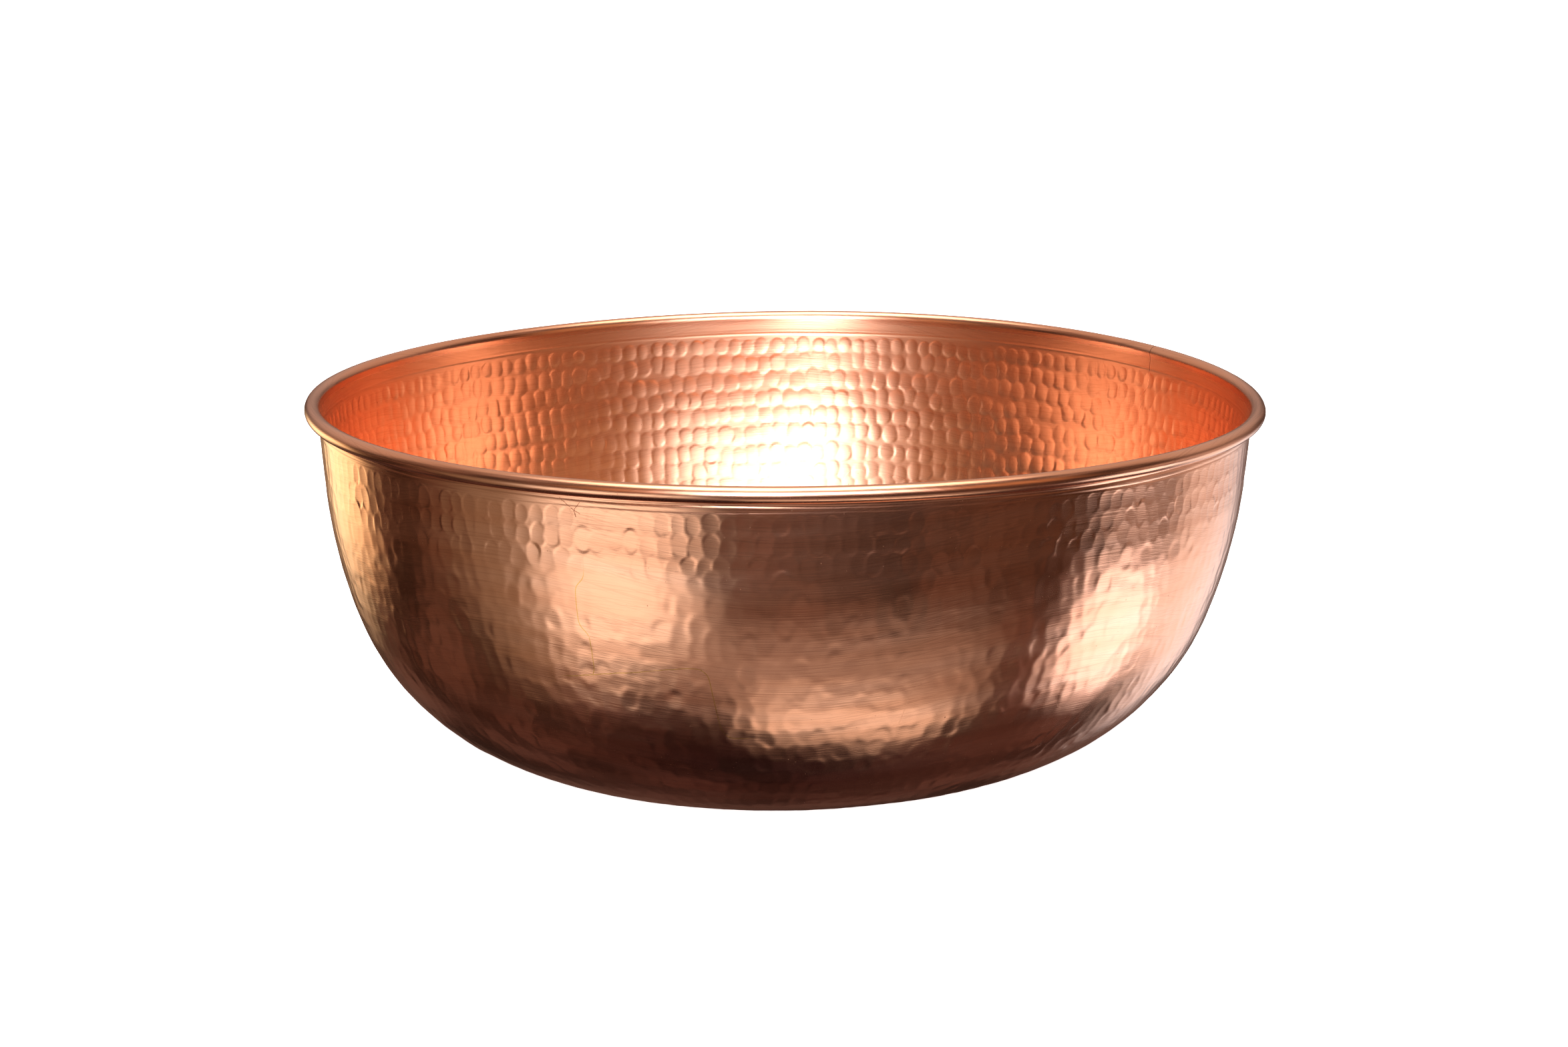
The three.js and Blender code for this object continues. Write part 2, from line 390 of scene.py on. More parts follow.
def base_seam():
    """The toothed line between the walls and the base pan, once round, as angles and alongs."""
    foot = seam_low.z + CAD_BRAZE_HALF
    top = seam_high.z - TAB_RISE / 2 - CAD_BRAZE_HALF
    half = TAB_WIDTH / 2
    radius = radius_at(along_at((foot + top) / 2))
    rng = np.random.default_rng(3)
    corners = []
    for tab in range(TAB_COUNT + 1):
        middle = (TAB_MIDDLE + tab * TURN / TAB_COUNT) * radius
        lean, lift = rng.uniform(-TAB_UNEVEN, TAB_UNEVEN, 2) * (0 < tab < TAB_COUNT)
        corners += [
            (middle - half - TAB_SLANT, foot),
            (middle - half + TAB_SLANT + lean, top - TAB_RISE / 2 + lift),
            (middle + half - TAB_SLANT + lean, top + TAB_RISE / 2 + lift),
            (middle + half + TAB_SLANT, foot),
        ]
    corners = np.array(corners)
    walked = np.concatenate([[0], np.cumsum(np.hypot(*np.diff(corners, axis=0).T))])
    steps = np.arange(0, walked[-1], SEAM_STEP)
    smooth = np.ones(CORNER_POINTS) / CORNER_POINTS
    across, height = (
        np.convolve(np.interp(steps, walked, column), smooth, "valid") for column in corners.T
    )
    jitter = rng.normal(0, 1, len(height) + WOBBLE_POINTS - 1)
    height += SEAM_WOBBLE * np.convolve(jitter, np.ones(WOBBLE_POINTS) / WOBBLE_POINTS, "valid")
    start = corners[0, 0] + TURN * radius / TAB_COUNT / 2
    once = (across >= start) & (across < start + TURN * radius)
    theta, along = across[once] / radius, along_at(height[once])
    return np.append(theta, theta[0] + TURN), np.append(along, along[0])


def base_seam_at(line, theta):
    """How far along the base seam lies at an angle."""
    line_theta, line_along = line
    return np.interp((theta - line_theta[0]) % TURN + line_theta[0], line_theta, line_along)


def upright_seam(middle, along):
    """The angle of an upright seam at each along: its rounded teeth step to and fro."""
    height = np.interp(along, PATH_ALONG, PATH_HEIGHT)
    swing = np.tanh(3 * np.sin(math.pi * height / TOOTH_HEIGHT))
    return middle + swing * TOOTH_DEPTH / 2 / ROLL_MIDDLE.x


def cell_labels(base_line):
    """Which sheet each grid cell belongs to."""
    theta = THETA + COLUMN_ANGLE / 2
    along = (ALONG[1:] + ALONG[:-1]) / 2
    below = along[:, None] > base_seam_at(base_line, theta)
    from_front = (theta - upright_seam(FRONT_LEFT_SEAM, along)[:, None]) % TURN
    reach = upright_seam(BACK_RIGHT_SEAM, along) - upright_seam(FRONT_LEFT_SEAM, along)
    walls = np.where(from_front < reach[:, None] % TURN, FRONT_RIGHT, BACK_LEFT)
    return np.where(below, PAN, walls)


def seam_segments(base_line):
    """Every seam's line as short segments: start angle, start along, end angle, end along."""
    along = np.arange(ALONG[0] - SEAM_STEP, along_at(seam_low.z), SEAM_STEP)
    lines = [base_line]
    for middle in (FRONT_LEFT_SEAM, BACK_RIGHT_SEAM):
        theta = upright_seam(middle, along)
        above = along < base_seam_at(base_line, theta)
        lines.append((theta[above], along[above]))
    segments = [
        np.stack([theta[:-1], run[:-1], theta[1:], run[1:]], axis=1) for theta, run in lines
    ]
    return np.concatenate(segments)


def onto_seam(theta, along, segments):
    """The nearest point on a seam for each given point, and the seam's own normal there, in mm."""
    radius = np.maximum(radius_at(along), 1)
    best = np.full(len(theta), np.inf)
    nearest = np.zeros((len(theta), 2))
    normal = np.zeros((len(theta), 2))
    for t0, a0, t1, a1 in segments:
        away = (t0 - theta + math.pi) % TURN - math.pi
        start = np.stack([away * radius, a0 - along], axis=1)
        run = np.stack([(t1 - t0) * radius, np.full(len(theta), a1 - a0)], axis=1)
        length = np.maximum(np.hypot(*run.T), 1e-9)
        share = np.clip(-(start * run).sum(axis=1) / length**2, 0, 1)
        point = start + run * share[:, None]
        distance = np.hypot(*point.T)
        closer = distance < best
        best[closer] = distance[closer]
        nearest[closer] = point[closer]
        normal[closer] = (run[closer] / length[closer, None])[:, ::-1] * [1, -1]
    return nearest, normal


# Cutting the grid into pieces

LONGEST_STRIDE = 64  # in columns, next to the middle of the base


def row_strides():
    """How many columns apart each row's points are. Shorter rows need fewer points."""
    ratio = NECK_RADIUS / np.maximum(radius_at(ALONG), NECK_RADIUS / LONGEST_STRIDE)
    return 2 ** np.floor(np.log2(ratio) + 1e-9).astype(int)


def sheet_faces(labels, wanted):
    """Quads and triangles over the cells with that label. A corner is row * COLUMNS + column."""
    strides = row_strides()
    quads, triangles = [], []
    for row in range(ROWS - 1):
        upper, lower = strides[row], strides[row + 1]
        left = np.arange(0, COLUMNS, lower)
        if upper == 1:
            left = left[labels[row, left] == wanted]
        elif wanted != PAN:
            break
        right = (left + lower) % COLUMNS
        above, below = row * COLUMNS, (row + 1) * COLUMNS
        if upper == lower:
            quads.append(np.stack([above + left, above + right, below + right, below + left], 1))
            continue
        half = left + upper
        triangles += [
            np.stack([above + left, above + half, below + left], 1),
            np.stack([above + half, below + right, below + left], 1),
            np.stack([above + half, above + right, below + right], 1),
        ]
    if wanted == PAN:
        last = (ROWS - 1) * COLUMNS
        ring = last + np.arange(0, COLUMNS, strides[-1])
        middle = np.full(len(ring), ROWS * COLUMNS)
        triangles.append(np.stack([ring, np.roll(ring, -1), middle], 1))
    return np.concatenate(quads), np.concatenate(triangles or [np.zeros((0, 3), int)])


def corner_labels(labels):
    """The labels of the four cells round each grid corner, 0 where there is no cell."""
    padded = np.zeros((ROWS + 1, COLUMNS), int)
    padded[1:-1] = labels
    upper, lower = padded[:-1], padded[1:]
    return np.stack([np.roll(upper, 1, 1), upper, np.roll(lower, 1, 1), lower])


AROUND = np.array([[-1, -1], [1, -1], [-1, 1], [1, 1]]) / 2  # across, down: to those four cells


class Cut:
    """The grid, its cells' labels, and where each sheet's corners lie once they follow the seams."""

    def __init__(self):
        base_line = base_seam()
        self.labels = cell_labels(base_line)
        self.around = corner_labels(self.labels)
        first = self.around.max(axis=0)
        last = np.where(self.around == 0, first, self.around).min(axis=0)
        self.on_seam = np.flatnonzero((first != last).ravel())
        row, column = np.divmod(self.on_seam, COLUMNS)
        self.nearest, self.normal = onto_seam(
            THETA[column], ALONG[row], seam_segments(base_line)
        )

    def corners(self, wanted):
        """Row and column of every grid corner for one sheet, moved back from the seams' middle."""
        rows = np.repeat(np.arange(ROWS + 0.0), COLUMNS)
        columns = np.tile(np.arange(COLUMNS + 0.0), ROWS)
        row, column = np.divmod(self.on_seam, COLUMNS)
        own = (self.around[:, row, column] == wanted)[:, :, None]
        step = np.gradient(ALONG)[row]
        radius = np.maximum(radius_at(ALONG[row]), 1)
        cell = np.stack([radius * COLUMN_ANGLE, step], axis=1)
        towards = (own * AROUND[:, None, :]).sum(axis=0) * cell - self.nearest
        side = np.sign((towards * self.normal).sum(axis=1))[:, None]
        moved = (self.nearest + side * self.normal * BRAZE_WIDTH / 2) / cell
        columns[self.on_seam] += moved[:, 0]
        rows[self.on_seam] = np.clip(row + moved[:, 1], 0, ROWS - 1)
        return rows, columns


def seam_faces(cut, one, other, stretch=None):
    """Quads that bridge the corners of two sheets along the seam between them, over a stretch that
    is given as its start angle and its length. Sheet s numbers its corners from s * SHEET_CORNERS."""
    labels = cut.labels
    number = np.arange(ROWS * COLUMNS).reshape(ROWS, COLUMNS)
    level = number[1:-1], np.roll(number, -1, 1)[1:-1], labels[:-1], labels[1:]
    upright = number[1:], number[:-1], np.roll(labels, 1, 1), labels
    quads = []
    for start, end, first, second in (level, upright):
        for near, far in ((one, other), (other, one)):
            edge = (first == near) & (second == far)
            if stretch:
                edge &= (THETA[start % COLUMNS] - stretch[0]) % TURN < stretch[1]
            near_side = np.stack([start[edge], end[edge]], axis=1) + near * SHEET_CORNERS
            far_side = np.stack([end[edge], start[edge]], axis=1) + far * SHEET_CORNERS
            quads.append(np.concatenate([near_side, far_side], axis=1))
    return np.concatenate(quads)


def junction_faces(cut):
    """The triangle where the base seam meets each upright seam."""
    met = [(cut.around == label).any(axis=0) for label in (FRONT_RIGHT, BACK_LEFT, PAN)]
    corner = np.flatnonzero(np.logical_and.reduce(met).ravel())
    from_front = abs((THETA[corner % COLUMNS] - FRONT_LEFT_SEAM + math.pi) % TURN - math.pi)
    front = from_front < math.pi / 2
    left = np.where(front, BACK_LEFT, FRONT_RIGHT)
    right = np.where(front, FRONT_RIGHT, BACK_LEFT)
    below = np.full(len(corner), PAN)
    return np.stack([sheet * SHEET_CORNERS + corner for sheet in (left, right, below)], axis=1)


def open_edges(quads, triangles):
    """The edges that only one face uses, each in that face's own direction."""
    starts = np.concatenate([quads.ravel(), triangles.ravel()])
    ends = np.concatenate([np.roll(quads, -1, 1).ravel(), np.roll(triangles, -1, 1).ravel()])
    span = max(starts.max(), ends.max()) + 1
    forward = starts * span + ends
    alone = ~np.isin(forward, ends * span + starts)
    return starts[alone], ends[alone]


# Meshes

SHARP_ANGLE = math.radians(50)  # edges between faces that meet at more than this stay crisp


def new_object(name, points, faces, attributes=()):
    """A smooth mesh object in metres, from points in millimetres and lists of equal-sided faces."""
    mesh = bpy.data.meshes.new(name)
    corners = np.concatenate([face.ravel() for face in faces])
    sides = np.concatenate([np.full(len(face), face.shape[1]) for face in faces])
    mesh.vertices.add(len(points))
    mesh.vertices.foreach_set("co", (points * MM).astype(np.float32).ravel())
    mesh.loops.add(len(corners))
    mesh.loops.foreach_set("vertex_index", corners.astype(np.int32))
    mesh.polygons.add(len(sides))
    starts = np.concatenate([[0], np.cumsum(sides)[:-1]])
    mesh.polygons.foreach_set("loop_start", starts.astype(np.int32))
    mesh.update(calc_edges=True)
    mesh.shade_smooth()
    mesh.set_sharp_from_angle(angle=SHARP_ANGLE)
    for label, values in attributes:
        layer = mesh.attributes.new(label, "FLOAT", "POINT")
        layer.data.foreach_set("value", values.astype(np.float32))
    piece = bpy.data.objects.new(name, mesh)
    bpy.context.scene.collection.objects.link(piece)
    return piece


def finished(piece, material, node):
    """Gives a piece its material, puts it under the root body and hides the CAD node that it stands
    for.
    """
    piece.data.materials.append(material)
    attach(piece, "root")
    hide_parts(node)


class Sheets:
    """Makes sheet-thick pieces out of faces on the grid."""

    def __init__(self):
        self.cut = Cut()
        inner, outer = both_reliefs()
        self.skins = ((face_rows(False), outer), (face_rows(True), inner))
        unused = np.zeros(SHEET_CORNERS)  # no sheet has the label 0
        all_rows, all_columns = [unused], [unused]
        for label in (FRONT_RIGHT, BACK_LEFT, PAN):
            rows, columns = self.cut.corners(label)
            all_rows.append(np.append(rows, ROWS - 1.0))
            all_columns.append(np.append(columns, 0.0))
        self.rows = np.concatenate(all_rows)
        self.columns = np.concatenate(all_columns)

    def points(self, corners, skin):
        """The points of numbered corners on the outer skin, 0, or the inner one, 1."""
        found = placed(*self.skins[skin], self.rows[corners], self.columns[corners])
        centre = corners % SHEET_CORNERS == SHEET_CORNERS - 1
        found[centre, :2] = 0
        return found

    def piece(self, name, quads, triangles):
        """Both skins of those faces, closed all round by a strip along the open edges."""
        corners = np.concatenate([quads.ravel(), triangles.ravel()])
        used, back = np.unique(corners, return_inverse=True)
        quads = back[: quads.size].reshape(-1, 4)
        triangles = back[quads.size :].reshape(-1, 3)
        count = len(used)
        start, end = open_edges(quads, triangles)
        strip = np.stack([start, end, end + count, start + count], axis=1)
        points = np.concatenate([self.points(used, 0), self.points(used, 1)])
        run = np.interp(self.rows[used], np.arange(ROWS), ALONG) * MM
        inside = np.repeat([0.0, 1.0], count)
        faces = [quads[:, ::-1], triangles[:, ::-1], quads + count, triangles + count, strip]
        faces = [face for face in faces if len(face)]
        return new_object(name, points, faces, (("along", np.tile(run, 2)), ("inside", inside)))

    def sheet(self, name, label):
        offset = label * SHEET_CORNERS
        quads, triangles = sheet_faces(self.cut.labels, label)
        return self.piece(name, quads + offset, triangles + offset)

    def seam(self, name, pairs, stretch=None, junctions=False):
        quads = np.concatenate([seam_faces(self.cut, *pair, stretch) for pair in pairs])
        triangles = junction_faces(self.cut) if junctions else np.zeros((0, 3), int)
        return self.piece(name, quads, triangles)


WIRE_SIDES = 16
WIRE_STEPS = 720


def rim_wire():
    """The drawn wire inside the roll, with the slight waves of a wire bent by hand."""
    turn = np.arange(WIRE_SIDES) * TURN / WIRE_SIDES
    theta = (np.arange(WIRE_STEPS) * TURN / WIRE_STEPS)[:, None]
    thick = WIRE_RADIUS * (1 + 0.01 * np.sin(37 * theta) * np.cos(turn + 5 * theta))
    radius = ROLL_MIDDLE.x + thick * np.cos(turn)
    height = ROLL_MIDDLE.y + thick * np.sin(turn)
    points = np.stack([radius * np.cos(theta), radius * np.sin(theta), height], axis=2)
    number = np.arange(WIRE_STEPS * WIRE_SIDES).reshape(WIRE_STEPS, WIRE_SIDES)
    onward = np.roll(number, -1, 0)
    quads = np.stack([number, onward, np.roll(onward, -1, 1), np.roll(number, -1, 1)], axis=2)
    return new_object("drawn_rim_wire", hand_made(points.reshape(-1, 3)), [quads.reshape(-1, 4)])


# Materials


class Nodes:
    """A short way to write shader nodes: sockets and plain values are both accepted as inputs."""

    def __init__(self, tree):
        self.tree = tree
        tree.nodes.clear()

    def add(self, kind, inputs=(), output=0, **settings):
        node = self.tree.nodes.new(kind)
        for name, value in settings.items():
            setattr(node, name, value)
        for name, value in dict(inputs).items():
            if isinstance(value, bpy.types.NodeSocket):
                self.tree.links.new(value, node.inputs[name])
            else:
                node.inputs[name].default_value = value
        return node.outputs[output] if node.outputs else None

    def math(self, operation, *values):
        return self.add("ShaderNodeMath", dict(enumerate(values)), operation=operation)

    def attribute(self, name):
        """A value that new_object stored at the mesh's points."""
        return self.add("ShaderNodeAttribute", output="Fac", attribute_name=name)

    def object_place(self):
        return self.add("ShaderNodeTexCoord", output="Object")

    def vector(self, x, y, z):
        return self.add("ShaderNodeCombineXYZ", {"X": x, "Y": y, "Z": z})

    def noise(self, place, scale, detail=2.0, roughness=0.5):
        inputs = {"Vector": place, "Scale": scale, "Detail": detail, "Roughness": roughness}
        return self.add("ShaderNodeTexNoise", inputs)

    def ramp(self, value, stops):
        """stops are (position, colour) pairs."""
        colour = self.add("ShaderNodeValToRGB", {"Fac": value})
        elements = colour.node.color_ramp.elements
        while len(elements) < len(stops):
            elements.new(0.5)
        for element, (position, shade) in zip(elements, stops):
            element.position = position
            element.color = (*shade, 1)
        return colour

    def between(self, value, low, high, to_low=0.0, to_high=1.0):
        """Eases from to_low, at low, to to_high, at high. low may be the greater of the two."""
        inputs = {"Value": value, "From Min": low, "From Max": high}
        inputs |= {"To Min": to_low, "To Max": to_high}
        return self.add("ShaderNodeMapRange", inputs, interpolation_type="SMOOTHSTEP")

    def mix(self, share, one, other, blend="MIX"):
        node = self.add(
            "ShaderNodeMix", {"Factor": share}, data_type="RGBA", blend_type=blend, output=2
        ).node
        for name, value in (("A", one), ("B", other)):
            socket = next(s for s in node.inputs if s.name == name and s.type == "RGBA")
            if isinstance(value, bpy.types.NodeSocket):
                self.tree.links.new(value, socket)
            else:
                socket.default_value = (*value, 1)
        return node.outputs[2]


def new_material(name):
    material = bpy.data.materials.new(name)
    material.use_nodes = True
    return material, Nodes(material.node_tree)


def wall_place(nodes):
    """x and y on a unit circle, the angle round the bowl, and the distance along in metres."""
    flat = nodes.add(
        "ShaderNodeVectorMath", {0: nodes.object_place(), 1: (1, 1, 0)}, operation="MULTIPLY"
    )
    round_way = nodes.add("ShaderNodeVectorMath", {0: flat}, operation="NORMALIZE")
    split = nodes.add("ShaderNodeSeparateXYZ", {"Vector": round_way}).node
    x, y = split.outputs["X"], split.outputs["Y"]
    return x, y, nodes.math("ARCTAN2", y, x), nodes.attribute("along")


SWINGS_ROUND = 5.0


def brushed_place(nodes, stretch, slant):
    """Noise coordinates that run round the bowl: stretch times finer along than around.
    slant is how far, in metres, the streaks swing up and down as they go round."""
    x, y, theta, along = wall_place(nodes)
    wave = nodes.math("SINE", nodes.math("MULTIPLY", theta, SWINGS_ROUND))
    leaning = nodes.math("ADD", along, nodes.math("MULTIPLY", wave, slant))
    radius = NECK_RADIUS * MM
    return nodes.vector(
        nodes.math("MULTIPLY", x, radius),
        nodes.math("MULTIPLY", y, radius),
        nodes.math("MULTIPLY", leaning, stretch),
    )


# The crack under the rim at the front left seam, in mm: its middle, its arms' ends from there, how
# far its dark line reaches to each side, and how much it wobbles
CRACK_ALONG = 9.2
CRACK_ARMS = ((-6.0, -4.4), (3.0, -3.8), (0.8, 2.4), (2.6, 1.2))
CRACK_HALF_WIDTH = 0.15
CRACK_WOBBLE = 1.2
FINE_NOISE = 900.0  # scale of the noise that frays the crack and makes the specks


def distance_to_arm(nodes, across, down, arm):
    """How far a point is from a straight arm that starts at 0, 0."""
    run_x, run_y = Vector(arm).normalized()
    over = nodes.math("MULTIPLY", across, run_x)
    reached = nodes.math("ADD", over, nodes.math("MULTIPLY", down, run_y))
    reached = nodes.math("MINIMUM", nodes.math("MAXIMUM", reached, 0.0), math.hypot(*arm) * MM)
    off_x = nodes.math("SUBTRACT", across, nodes.math("MULTIPLY", reached, run_x))
    off_y = nodes.math("SUBTRACT", down, nodes.math("MULTIPLY", reached, run_y))
    squares = [nodes.math("MULTIPLY", off, off) for off in (off_x, off_y)]
    return nodes.math("SQRT", nodes.math("ADD", *squares))


def crack_mask(nodes):
    """1 in the crack and 0 away from it. The crack shows on the outer face only."""
    _, _, theta, along = wall_place(nodes)
    wobble = nodes.noise(nodes.object_place(), FINE_NOISE)
    wobble = nodes.math("MULTIPLY", nodes.math("SUBTRACT", wobble, 0.5), CRACK_WOBBLE * MM)
    turned = nodes.math("SUBTRACT", theta, FRONT_LEFT_SEAM)
    across = nodes.math("ADD", nodes.math("MULTIPLY", turned, NECK_RADIUS * MM), wobble)
    down = nodes.math("SUBTRACT", along, CRACK_ALONG * MM)
    nearest = distance_to_arm(nodes, across, down, CRACK_ARMS[0])
    for arm in CRACK_ARMS[1:]:
        nearest = nodes.math("MINIMUM", nearest, distance_to_arm(nodes, across, down, arm))
    line = nodes.between(nearest, CRACK_HALF_WIDTH * MM, CRACK_HALF_WIDTH * MM / 4)
    outside = nodes.math("SUBTRACT", 1.0, nodes.attribute("inside"))
    return nodes.math("MULTIPLY", line, outside)


BRUSH_DEPTH = 0.03 * MM  # of the fine brush marks, which are bump only


def brushed_metal(nodes, colour, rough, height):
    """Metal whose fine brush marks run round the bowl. Highlights are stretched across them, which
    takes the quarter turn of the tangent."""
    bump = nodes.add("ShaderNodeBump", {"Height": height, "Strength": 0.6, "Distance": BRUSH_DEPTH})
    tangent = nodes.add("ShaderNodeTangent", direction_type="RADIAL", axis="Z")
    shader = nodes.add("ShaderNodeBsdfPrincipled", {
        "Base Color": colour, "Metallic": 1.0, "Roughness": rough, "Normal": bump,
        "Anisotropic": 0.35, "Anisotropic Rotation": 0.25, "Tangent": tangent,
    })
    nodes.add("ShaderNodeOutputMaterial", {"Surface": shader})


# Colour stops from dull to bright: where along the tone, and the colour there
COPPER_TONES = ((0.35, (0.84, 0.385, 0.22)), (0.5, (0.88, 0.43, 0.255)), (0.65, (0.91, 0.47, 0.295)))
# Painted shade: a darker copper for the inner face, which stands in for the shade inside the bowl
INSIDE_PAINTED_SHADE = (0.77, 0.40, 0.23)
COPPER_PITS = (0.45, 0.17, 0.08)
COPPER_SCRATCHES = (0.58, 0.26, 0.15)


def copper():
    """Bright brushed copper: fine streaks, slow patches of tone, scratches, pits and the crack, with
    painted shade (a darker copper) on the inner face below the rim.
    """
    material, nodes = new_material("hammered_copper")
    fine = nodes.noise(brushed_place(nodes, 80, 0.002), 30.0, 1.0)
    slanted = nodes.noise(brushed_place(nodes, 60, 0.009), 30.0, 1.0)
    streak = nodes.noise(brushed_place(nodes, 9, 0.003), 14.0, 1.0)
    patches = nodes.noise(brushed_place(nodes, 1.6, 0.0), 11.0, 3.0, 0.55)
    speck = nodes.noise(nodes.object_place(), FINE_NOISE)
    crack = crack_mask(nodes)
    below_rim = nodes.between(nodes.attribute("along"), 0.0, 3 * MM)
    inside = nodes.math("MULTIPLY", nodes.attribute("inside"), below_rim)

    streaky = nodes.math("MULTIPLY", streak, 0.6)
    tone = nodes.math("ADD", streaky, nodes.math("MULTIPLY", patches, 0.4))
    colour = nodes.ramp(tone, COPPER_TONES)
    # Painted shade: the inner face below the rim is mixed most of the way to the darker copper
    colour = nodes.mix(nodes.math("MULTIPLY", inside, 0.8), colour, INSIDE_PAINTED_SHADE)
    pits = nodes.math("MAXIMUM", nodes.between(speck, 0.75, 0.8), crack)
    colour = nodes.mix(pits, colour, COPPER_PITS)
    scratches = [nodes.between(marks, 0.55, 0.7) for marks in (fine, slanted)]
    scratched = nodes.math("MULTIPLY", nodes.math("MAXIMUM", *scratches), 0.3)
    colour = nodes.mix(scratched, colour, COPPER_SCRATCHES)

    rough = nodes.between(streak, 0.3, 0.7, 0.195, 0.21)
    rough = nodes.math("ADD", rough, nodes.math("MULTIPLY", inside, 0.09))
    rough = nodes.math("ADD", rough, nodes.math("MULTIPLY", pits, 0.25))
    height = nodes.math("ADD", fine, nodes.math("MULTIPLY", slanted, 0.8))
    height = nodes.math("SUBTRACT", height, nodes.math("MULTIPLY", crack, 0.5))
    brushed_metal(nodes, colour, rough, height)
    return material


BRASS_TONES = ((0.35, (0.62, 0.31, 0.09)), (0.65, (0.72, 0.38, 0.13)))
BRASS_RUBBED_OVER = (0.86, 0.42, 0.25)
BRASS_CRACKED = (0.20, 0.08, 0.05)
OPEN_BRASS = TAB_MIDDLE + 0.06  # the angle round which the brass is bare, at the front left tab


def brass():
    """Brass braze. Copper is rubbed over it in patches, in its top 30 mm, and everywhere but at
    the front left tab. It is cracked across the rim at the back right seam."""
    material, nodes = new_material("filed_brass")
    _, y, theta, along = wall_place(nodes)
    grain = nodes.noise(brushed_place(nodes, 55, 0.002), 30.0, 1.0)
    in_patches = nodes.between(nodes.noise(nodes.object_place(), 45.0), 0.56, 0.66)
    under_rim = nodes.between(along, 36 * MM, 30 * MM)
    aside = nodes.math("ABSOLUTE", nodes.math("SUBTRACT", theta, OPEN_BRASS))
    rubbed_over = nodes.math("MAXIMUM", in_patches, under_rim)
    rubbed_over = nodes.math("MAXIMUM", rubbed_over, nodes.between(aside, 0.18, 0.22))
    at_rim = nodes.between(along, 9 * MM, 7 * MM)
    cracked = nodes.math("MULTIPLY", nodes.between(y, 0.0, 0.2), at_rim)
    colour = nodes.ramp(grain, BRASS_TONES)
    colour = nodes.mix(rubbed_over, colour, BRASS_RUBBED_OVER)
    colour = nodes.mix(cracked, colour, BRASS_CRACKED)
    brushed_metal(nodes, colour, nodes.between(grain, 0.3, 0.7, 0.21, 0.26), grain)
    return material


STEEL_TONES = ((0.4, (0.33, 0.31, 0.29)), (0.6, (0.42, 0.36, 0.30)), (0.75, (0.25, 0.12, 0.06)))


def steel():
    """Drawn steel wire, dull and rusted in spots."""
    material, nodes = new_material("drawn_steel_wire")
    rust = nodes.noise(nodes.object_place(), 160.0, 4.0, 0.6)
    colour = nodes.ramp(rust, STEEL_TONES)
    rough = nodes.between(rust, 0.4, 0.75, 0.35, 0.75)
    shader = nodes.add("ShaderNodeBsdfPrincipled", {
        "Base Color": colour, "Metallic": 1.0, "Roughness": rough,
    })
    nodes.add("ShaderNodeOutputMaterial", {"Surface": shader})
    return material


# The studio

CAMERA_DISTANCE = 1.6  # metres, from the middle of the rim
CAMERA_ELEVATION = math.radians(10.89)
CAMERA_DIP = math.radians(12.77)  # the camera looks this far below the horizon
CAMERA_ROLL = math.radians(-0.78)
CAMERA_LENS = 87.7
SENSOR_WIDTH = 36
FLOOR_REACH = 12000  # mm, from the bowl


def add_camera():
    data = bpy.data.cameras.new("camera")
    data.lens = CAMERA_LENS
    data.sensor_width = SENSOR_WIDTH
    camera = bpy.data.objects.new("camera", data)
    bpy.context.scene.collection.objects.link(camera)
    back = Vector((0, -math.cos(CAMERA_ELEVATION), math.sin(CAMERA_ELEVATION)))
    place = Vector((0, 0, ROLL_MIDDLE.y * MM)) + back * CAMERA_DISTANCE
    tilt = Matrix.Rotation(math.pi / 2 - CAMERA_DIP, 4, "X")
    camera.matrix_world = Matrix.Translation(place) @ tilt @ Matrix.Rotation(CAMERA_ROLL, 4, "Z")
    bpy.context.scene.camera = camera


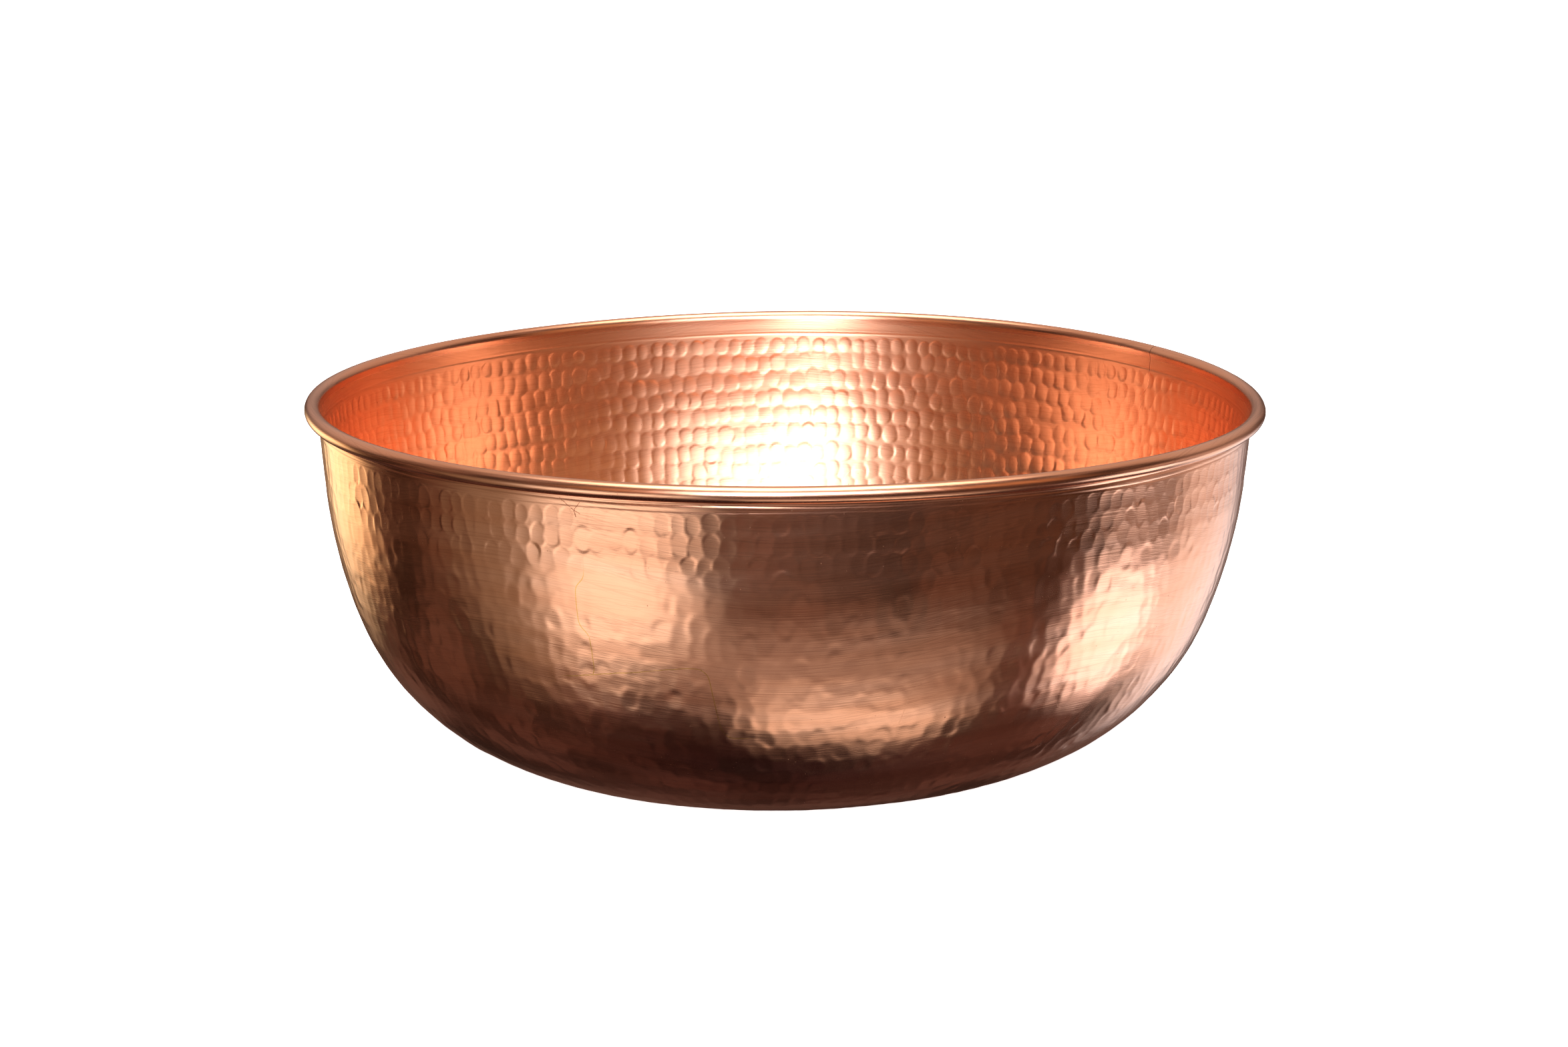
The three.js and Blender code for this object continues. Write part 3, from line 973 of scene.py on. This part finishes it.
def add_floor():
    """A pale floor, lit from below like a light table so that the bowl's shadow is faint."""
    material, nodes = new_material("pale_floor")
    grain = nodes.noise(nodes.object_place(), 3.0)
    colour = nodes.ramp(grain, ((0.3, (0.90, 0.90, 0.90)), (0.7, (0.93, 0.93, 0.93))))
    matt = nodes.add("ShaderNodeBsdfDiffuse", {"Color": colour})
    glow = nodes.add("ShaderNodeEmission", {"Color": colour, "Strength": 0.95})
    shader = nodes.add("ShaderNodeAddShader", {0: matt, 1: glow})
    nodes.add("ShaderNodeOutputMaterial", {"Surface": shader})
    points = FLOOR_REACH * np.array([[-1.0, -1, 0], [1, -1, 0], [1, 1, 0], [-1, 1, 0]])
    floor = new_object("floor", points, [np.array([[0, 1, 2, 3]])])
    floor.data.materials.append(material)
    floor.visible_glossy = False
    floor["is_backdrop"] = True


# Soft panels round the bowl: azimuth (0 is the camera's side, 90 the right), elevation, half
# width, half height and softness of the edges, all in degrees, then strength and colour
PANELS = (
    (103, -34, 17, 10, 5, 2.3, (0.95, 1.0, 1.15)),  # right, outside: the near part
    (137, -24, 20, 11, 7, 1.3, (1.0, 1.0, 1.05)),  # the far part
    (112, -8, 24, 8, 8, 0.6, (1.0, 0.8, 0.75)),  # and above it, faint
    (-71, -24, 18, 20, 9, 0.28, (1.0, 0.8, 0.6)),  # left, outside: faint
    (-141, -10, 14, 8, 6, 2.2, (1.0, 0.82, 0.5)),  # and bright
    (-44, -28, 19, 14, 10, 1.7, (1.0, 1.04, 1.05)),  # front left
    (28, -63, 42, 8, 11, 1.5, (1.0, 0.95, 0.9)),  # under the belly
    (15, -46, 50, 8, 9, 0.4, (1.0, 0.85, 0.8)),  # and in front of it
    (10, 20, 60, 15, 12, 0.6, (1.0, 0.55, 0.3)),  # behind the camera, for the inside: faint
    (3, 26, 25, 13, 15, 6.0, (1.0, 1.1, 1.3)),  # wide
    (-8, 10, 9, 6, 7, 11.0, (1.0, 1.1, 1.3)),  # and narrow
    (180, 40, 70, 30, 15, 0.6, (1.0, 0.8, 0.7)),  # behind the bowl, for the top of the rim
    (0, 90, 180, 24, 12, 5.0, (1.0, 0.95, 0.9)),  # overhead
)

# The dim light of the room behind the panels, from straight down, 0, to straight up, 1
ROOM = (
    (0.06, (0.01, 0.004, 0.006)),
    (0.22, (0.05, 0.026, 0.022)),
    (0.4, (0.05, 0.028, 0.02)),
    (0.6, (0.08, 0.05, 0.04)),
    (1.0, (0.25, 0.20, 0.18)),
)


def panel_share(nodes, direction, elevation, panel):
    """How much of a panel is seen in a direction: 1 inside it, easing to 0 over its soft edges."""
    azimuth, height, half_width, half_height, soft = panel
    turned = nodes.add("ShaderNodeVectorRotate", {
        "Vector": direction, "Angle": math.radians(90 - azimuth),
    }, rotation_type="Z_AXIS")
    sides = nodes.add("ShaderNodeSeparateXYZ", {"Vector": turned}).node.outputs
    aside = nodes.math("ABSOLUTE", nodes.math("ARCTAN2", sides["Y"], sides["X"]))
    off = nodes.math("ABSOLUTE", nodes.math("SUBTRACT", elevation, math.radians(height)))
    wide, tall, blur = (math.radians(v) for v in (half_width, half_height, soft))
    across = nodes.between(aside, wide + blur, max(wide - blur, 0))
    return nodes.math("MULTIPLY", across, nodes.between(off, tall + blur, tall - blur))


def add_world():
    """The studio that the copper reflects. The camera itself sees a white backdrop."""
    world = bpy.data.worlds.new("studio")
    bpy.context.scene.world = world
    world.use_nodes = True
    nodes = Nodes(world.node_tree)
    direction = nodes.add("ShaderNodeTexCoord", output="Generated")
    split = nodes.add("ShaderNodeSeparateXYZ", {"Vector": direction}).node
    elevation = nodes.math("ARCSINE", split.outputs["Z"])
    rise = nodes.math("ADD", nodes.math("DIVIDE", elevation, math.pi), 0.5)
    uneven = nodes.between(nodes.noise(direction, 6.0), 0.35, 0.65, 0.3, 3.0)
    light = nodes.mix(1.0, nodes.ramp(rise, ROOM), uneven, "MULTIPLY")
    for *panel, strength, colour in PANELS:
        glow = tuple(strength * channel for channel in colour)
        light = nodes.mix(panel_share(nodes, direction, elevation, panel), light, glow)
    studio = nodes.add("ShaderNodeBackground", {"Color": light})
    backdrop = nodes.add("ShaderNodeBackground", {"Color": (1, 1, 1, 1), "Strength": 1.0})
    seen = nodes.add("ShaderNodeLightPath", output="Is Camera Ray")
    both = nodes.add("ShaderNodeMixShader", {0: seen, 1: studio, 2: backdrop})
    nodes.add("ShaderNodeOutputWorld", {"Surface": both})


LAMP_SIZE = 3  # metres across
LAMP_HEIGHT = 2.5
LAMP_POWER = 100  # watts


def add_floor_lamp():
    """Lights the floor only, so that it stays pale and the bowl keeps a soft shadow."""
    data = bpy.data.lights.new("floor_lamp", "AREA")
    data.shape = "DISK"
    data.size = LAMP_SIZE
    data.energy = LAMP_POWER
    lamp = bpy.data.objects.new("floor_lamp", data)
    lamp.location = (0, 0, LAMP_HEIGHT)
    lamp.visible_glossy = False
    bpy.context.scene.collection.objects.link(lamp)


# Putting it together

add_camera()
add_floor()
add_floor_lamp()
add_world()
bpy.context.scene.view_settings.view_transform = "Standard"

WALL_PAIR = [(FRONT_RIGHT, BACK_LEFT)]
PAN_PAIRS = [(FRONT_RIGHT, PAN), (BACK_LEFT, PAN)]
FRONT_HALF = (math.pi, math.pi)  # the angle that it starts at, and its length
BACK_HALF = (0, math.pi)

sheets = Sheets()
copper_sheet, brass_braze = copper(), brass()
finished(sheets.sheet("hammered_wall_front_right", FRONT_RIGHT), copper_sheet,
         "wall_sheet_front_right")
finished(sheets.sheet("hammered_wall_back_left", BACK_LEFT), copper_sheet,
         "wall_sheet_back_left")
finished(sheets.sheet("hammered_base_pan", PAN), copper_sheet, "base_pan")
finished(sheets.seam("base_seam_brass", PAN_PAIRS, junctions=True), brass_braze,
         "base_seam_braze")
finished(sheets.seam("front_left_seam_brass", WALL_PAIR, FRONT_HALF), brass_braze,
         "front_left_seam_braze")
finished(sheets.seam("back_right_seam_brass", WALL_PAIR, BACK_HALF), brass_braze,
         "back_right_seam_braze")
finished(rim_wire(), steel(), "rim_wire")

boxes = {"cad": cad_box, "visual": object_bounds()}
{name: [list(corner) for corner in box] for name, box in boxes.items()}
